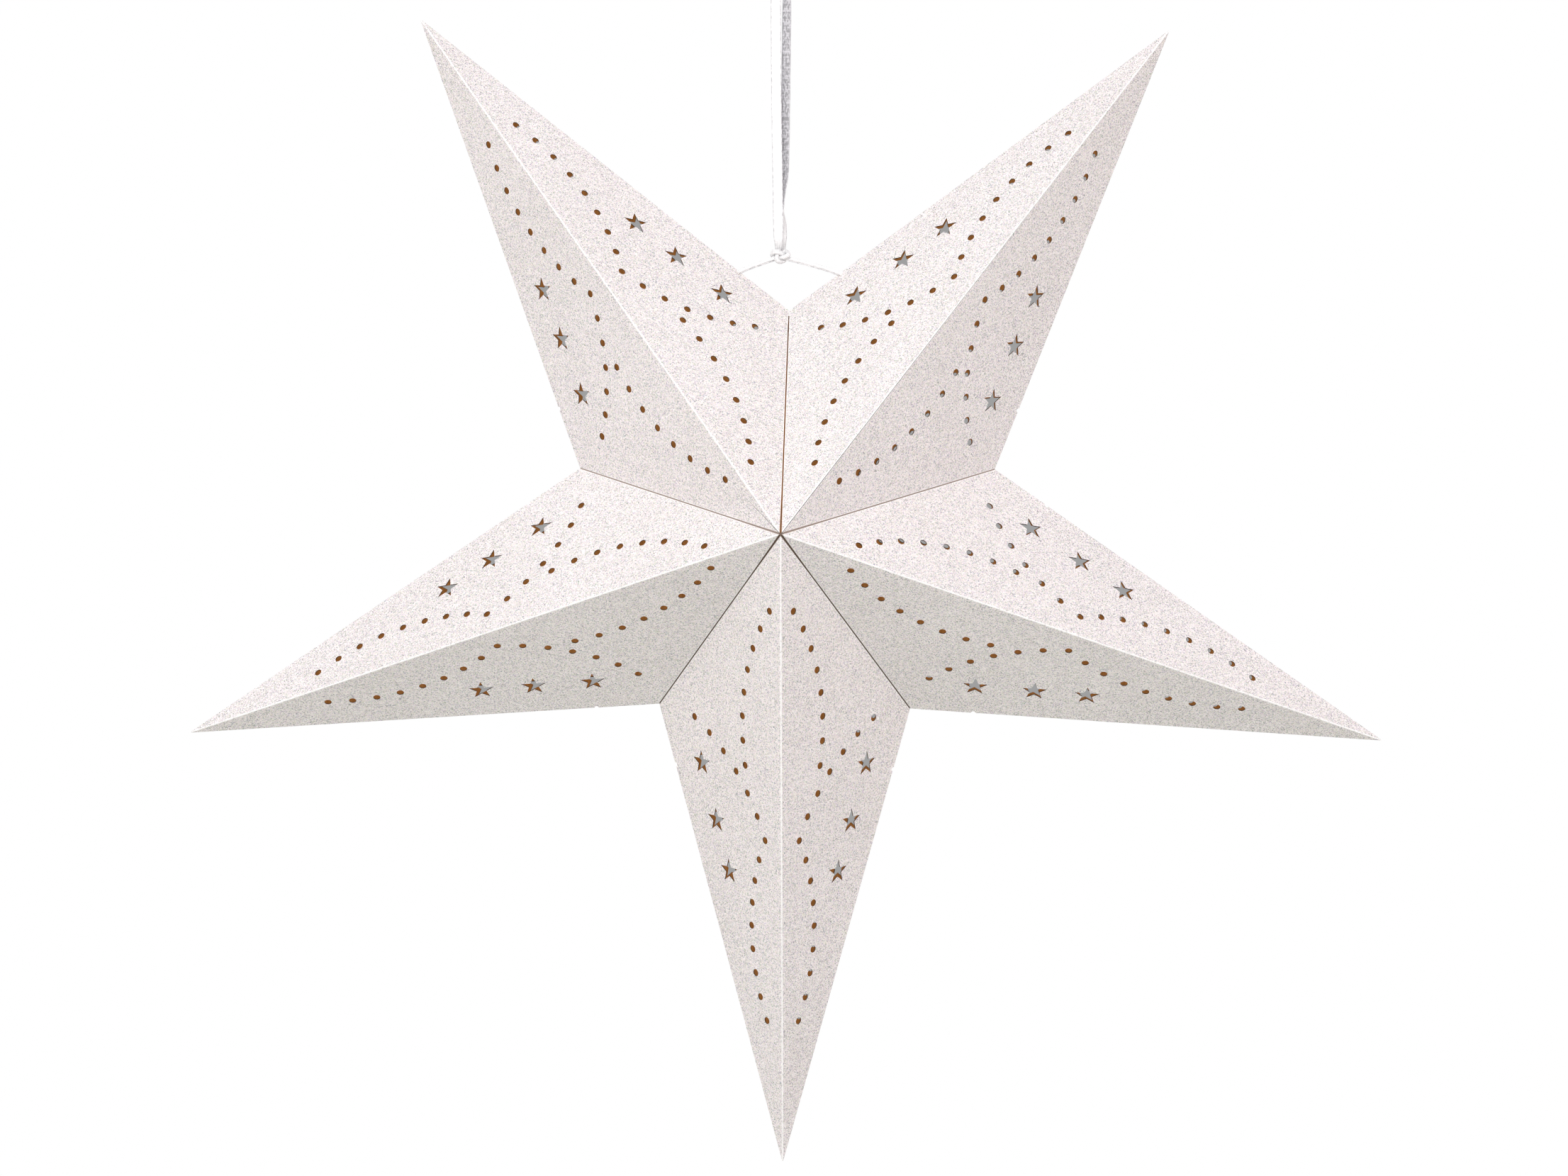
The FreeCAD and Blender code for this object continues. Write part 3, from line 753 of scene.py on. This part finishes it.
def gathered(z):
    """Share of its width that the ribbon keeps: it is drawn in at the knot."""
    near = min(max((z - LOOP_ROUTE[0][2] * MM) / GATHER_OVER, 0.0), 1.0)
    return GATHERED + (1 - GATHERED) * math.sin(near * math.pi / 2)


def ribbon_row(at, tangent, angle, ripple):
    """Points across the flat ribbon, turned by the angle about its run."""
    side = Vector((0, 1, 0))
    face = tangent.cross(side)
    wide = side * math.cos(angle) + face * math.sin(angle)
    thick = tangent.cross(wide).normalized()
    drawn = gathered(at.z)
    row = []
    for j in range(RIBBON_STRIPS + 1):
        u = 2 * j / RIBBON_STRIPS - 1
        lift = RIBBON_CAMBER * (1 - u * u) + ripple * u
        lift += (1 - drawn) * PLEAT * math.cos(3 * math.pi * u)
        row.append(at + wide * (u * drawn * RIBBON / 2) + thick * lift)
    return row


def ribbon_loop(finishes):
    """The flat ribbon up over its hook and down again, turned on itself."""
    line = route_line(LOOP_ROUTE)
    half = len(line) // 2
    rows = []
    for k, (at, tangent) in enumerate(zip(line, directions(line))):
        turns, lag = (LEFT_TURN, 0.0) if k < half else (RIGHT_TURN, RIPPLE_LAG)
        angle = math.radians(eased(at.z / MM, turns))
        ripple = RIPPLE * math.sin(at.z / MM * RIPPLE_RATE + lag)
        rows.append(ribbon_row(at, tangent, angle, ripple))
    loop = woven("ribbon_loop_satin", line, rows)
    for finish in finishes:
        loop.data.materials.append(finish)
    thicken(loop)
    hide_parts("ribbon_loop")
    return loop, line


def bunch_row(at, across, depth, radius, points, fold, flat=1.0):
    """Points around a ribbon gathered into a cord; fold shapes its pleats."""
    row = []
    for j in range(points):
        a = math.tau * j / points
        row.append(at + (across * math.cos(a) + depth * math.sin(a) * flat)
                   * radius * fold(a))
    return row


def ribbon_sling(finish):
    """The ribbon bunched through the two holes and under the notch."""
    line = route_line(SLING_ROUTE)
    rows = []
    for k, (at, tangent) in enumerate(zip(line, directions(line))):
        across = tangent.cross(Vector((0, 1, 0))).normalized()
        depth = across.cross(tangent).normalized()
        spin = math.tau * SLING_TURNS * k / len(line)

        def fold(a):
            return (SLING_CORE + SLING_PLEAT * math.cos(SLING_PLEATS * a + spin)
                    + SLING_WAVE * math.sin(2 * a - spin))

        rows.append(bunch_row(at, across, depth, SLING_D / 2, SLING_POINTS, fold))
    sling = woven("ribbon_sling_satin", line, rows, capped=True)
    sling.data.materials.append(finish)
    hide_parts("ribbon_sling")
    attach(sling, "star")
    return sling, line


def knot_line():
    """Points of a three-lobed winding that fills the knot's size."""
    reach = KNOT_SIZE / 2 - Vector((1, 1, 1)) * KNOT_BUNCH
    line = []
    for k in range(KNOT_STEPS):
        t = math.tau * k / KNOT_STEPS
        lobes = Vector(((math.sin(t) + 2 * math.sin(2 * t)) / 3,
                        -math.sin(3 * t),
                        (math.cos(t) - 2 * math.cos(2 * t)) / 3))
        line.append(KNOT_AT + Vector([a * b for a, b in zip(lobes, reach)]))
    return line


def ribbon_knot(finish):
    """Overhand knot of the bunched ribbon, drawn tight."""
    def fold(a):
        return KNOT_CORE + KNOT_PLEAT * math.cos(KNOT_PLEATS * a)

    line = knot_line()
    rows = []
    for at, tangent in zip(line, directions(line, True)):
        across = tangent.cross(at - KNOT_AT).normalized()
        depth = across.cross(tangent).normalized()
        rows.append(bunch_row(at, across, depth, KNOT_BUNCH, KNOT_POINTS, fold,
                              KNOT_FLAT))
    knot = woven("ribbon_knot_satin", line, rows, closed=True)
    knot.data.materials.append(finish)
    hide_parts("ribbon_knot")
    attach(knot, "star")
    return knot


# ---- lamp -------------------------------------------------------------------
def lamp_finishes():
    wire = steel("steel_wire", (0.62, 0.62, 0.61), roughness=0.28,
                 scratch=(900, 900, 120))
    plate = steel("contact_plate", (0.70, 0.68, 0.63), roughness=0.24,
                  scratch=(1500, 160, 160))
    cell = steel("cell_steel", (0.66, 0.67, 0.68), roughness=0.22,
                 scratch=(400, 400, 2400))
    shell = moulded("lamp_plastic", (0.78, 0.77, 0.73), roughness=0.5)
    switch = moulded("switch_plastic", (0.06, 0.06, 0.065), roughness=0.4)
    return {"lamp_hook": wire, "hook_washer": wire, "battery_spring": wire,
            "board_screws": wire, "top_contact": plate, "bottom_contact": plate,
            "coin_cells": cell, "lamp_cap": shell, "lamp_body": shell,
            "led_board": circuit_board(), "leds": led_lens(),
            "diffuser": frosted(), "switch_slider": switch,
            "switch_base": switch}


def dress_lamp():
    for name, finish in lamp_finishes().items():
        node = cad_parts[name]
        if not node.material_slots:
            node.data.materials.append(finish)
        for slot in node.material_slots:
            slot.material = finish


# ---- studio -----------------------------------------------------------------
def light(name, at, width, watts, colour):
    lamp = bpy.data.lights.new(name, "AREA")
    lamp.shape = "DISK"
    lamp.size = width
    lamp.energy = watts
    lamp.color = colour
    obj = bpy.data.objects.new(name, lamp)
    obj.location = at
    aim = STAR_CENTRE - Vector(at)
    obj.rotation_euler = aim.to_track_quat("-Z", "Y").to_euler()
    obj.visible_camera = False
    bpy.context.scene.collection.objects.link(obj)


def white_for_camera(tree, white, behind, share, output):
    """White to the camera, in gloss and through glass, and behind otherwise."""
    def combined(how, a, b):
        made = tree.nodes.new("ShaderNodeMath")
        made.operation = how
        tree.links.new(a, made.inputs[0])
        if isinstance(b, bpy.types.NodeSocket):
            tree.links.new(b, made.inputs[1])
        else:
            made.inputs[1].default_value = b
        return made.outputs[0]

    path = tree.nodes.new("ShaderNodeLightPath").outputs
    glossy = combined("MAXIMUM", path["Is Glossy Ray"], path["Is Transmission Ray"])
    seen = combined("MAXIMUM", path["Is Camera Ray"], glossy)
    mix = tree.nodes.new("ShaderNodeMixShader")
    tree.links.new(combined("MULTIPLY", seen, share), mix.inputs[0])
    tree.links.new(behind, mix.inputs[1])
    tree.links.new(white, mix.inputs[2])
    tree.links.new(mix.outputs[0], tree.nodes[output].inputs[0])


def studio_world():
    """A soft sky, tinted by height, that the camera sees as white."""
    world = bpy.data.worlds.new("studio")
    bpy.context.scene.world = world
    world.use_nodes = True
    tree = world.node_tree
    soft = tree.nodes["Background"]
    soft.inputs["Strength"].default_value = SKY_STRENGTH
    facing = tree.nodes.new("ShaderNodeTexCoord").outputs["Generated"]
    height = tree.nodes.new("ShaderNodeSeparateXYZ")
    tree.links.new(facing, height.inputs[0])
    tint = tree.nodes.new("ShaderNodeMapRange")
    tint.inputs["From Min"].default_value = -1
    tree.links.new(height.outputs["Z"], tint.inputs["Value"])
    shades = tree.nodes.new("ShaderNodeValToRGB")
    shades.color_ramp.elements.new(0.5)
    for end, (at, colour) in zip(shades.color_ramp.elements, SKY_SHADES):
        end.position = at
        end.color = rgba(colour)
    tree.links.new(tint.outputs[0], shades.inputs[0])
    tree.links.new(shades.outputs[0], soft.inputs["Color"])
    white = tree.nodes.new("ShaderNodeBackground")
    white.inputs["Color"].default_value = rgba(1.0)
    white_for_camera(tree, white.outputs[0], soft.outputs[0], 1.0, "World Output")


def studio_floor():
    bpy.ops.object.select_all(action="DESELECT")
    bpy.ops.mesh.primitive_plane_add(size=FLOOR_SIDE, location=(0, 0, 0))
    floor = bpy.context.object
    floor.name = "studio_floor"
    for v in floor.data.vertices:
        v.co.z = FLOOR_Z
    finish = bpy.data.materials.new("studio_floor")
    finish.use_nodes = True
    tree = finish.node_tree
    paint = tree.nodes["Principled BSDF"]
    paint.inputs["Base Color"].default_value = rgba(FLOOR_PAINT)
    paint.inputs["Roughness"].default_value = FLOOR_ROUGH
    white = tree.nodes.new("ShaderNodeEmission")
    white_for_camera(tree, white.outputs[0], paint.outputs[0], FLOOR_WHITE,
                     "Material Output")
    floor.data.materials.append(finish)


def inset_outline():
    """The star's outline drawn in by BOARD_INSET."""
    outline = [p for i in range(len(ARMS)) for p in (notch(i), tip(i))]
    edges = []
    for a, b in zip(outline, outline[1:] + outline[:1]):
        along = (b - a).normalized()
        inward = Vector((-along.z, 0, along.x))
        if inward.dot(STAR_CENTRE - a) < 0:
            inward.negate()
        edges.append((a + inward * BOARD_INSET, along))
    corners = []
    for (p, d), (q, e) in zip(edges[-1:] + edges[:-1], edges):
        gap = q - p
        t = (gap.x * e.z - gap.z * e.x) / (d.x * e.z - d.z * e.x)
        corners.append(p + d * t)
    return corners


def far_grey():
    """Painted shade seen only where a front hole lines up with a back one: a grey
    board far behind, hidden by the star."""
    shape = bmesh.new()
    verts = []
    for corner in inset_outline():
        ray = corner - CAMERA_AT
        reach = (BOARD_Y - CAMERA_AT.y) / ray.y
        verts.append(shape.verts.new(CAMERA_AT + ray * reach))
    shape.faces.new(verts)
    board = new_piece("far_grey", shape)
    finish = bpy.data.materials.new("far_grey")
    finish.use_nodes = True
    tree = finish.node_tree
    grey = tree.nodes.new("ShaderNodeEmission")
    grey.inputs["Color"].default_value = rgba(BOARD_GREY)
    tree.links.new(grey.outputs[0], tree.nodes["Material Output"].inputs[0])
    board.data.materials.append(finish)
    for ray in ("diffuse", "glossy", "transmission", "volume_scatter", "shadow"):
        setattr(board, "visible_" + ray, False)


def camera():
    data = bpy.data.cameras.new("camera")
    data.lens = CAMERA_LENS
    data.sensor_width = CAMERA_SENSOR
    data.clip_end = SIGHT_END
    obj = bpy.data.objects.new("camera", data)
    obj.location = CAMERA_AT
    obj.rotation_euler = [math.radians(a) for a in CAMERA_TURN]
    bpy.context.scene.collection.objects.link(obj)
    bpy.context.scene.camera = obj


def ribbons():
    """The knot, the loop and the sling."""
    white = satin_ribbon("ribbon_face", *SATIN_WHITE, WHITE_RIB, WHITE_SLUB)
    # the back's grey is partly painted shade
    dull_shaded = satin_ribbon("ribbon_back_shaded", *SATIN_DULL_SHADED, DULL_RIB, DULL_SLUB)
    knot = ribbon_knot(white)
    loop, loop_line = ribbon_loop((dull_shaded, white, white))
    sling, sling_line = ribbon_sling(white)
    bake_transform(loop)


def build():
    camera()
    ribbons()
    card = (glitter_card(), kraft_back(), cut_edge())
    for i in range(len(ARMS)):
        card_arm(i, card)
    dress_lamp()
    studio_world()
    studio_floor()
    far_grey()
    for lamp in LIGHTS:
        light(*lamp)
    bpy.context.scene.view_settings.view_transform = "Standard"


build()
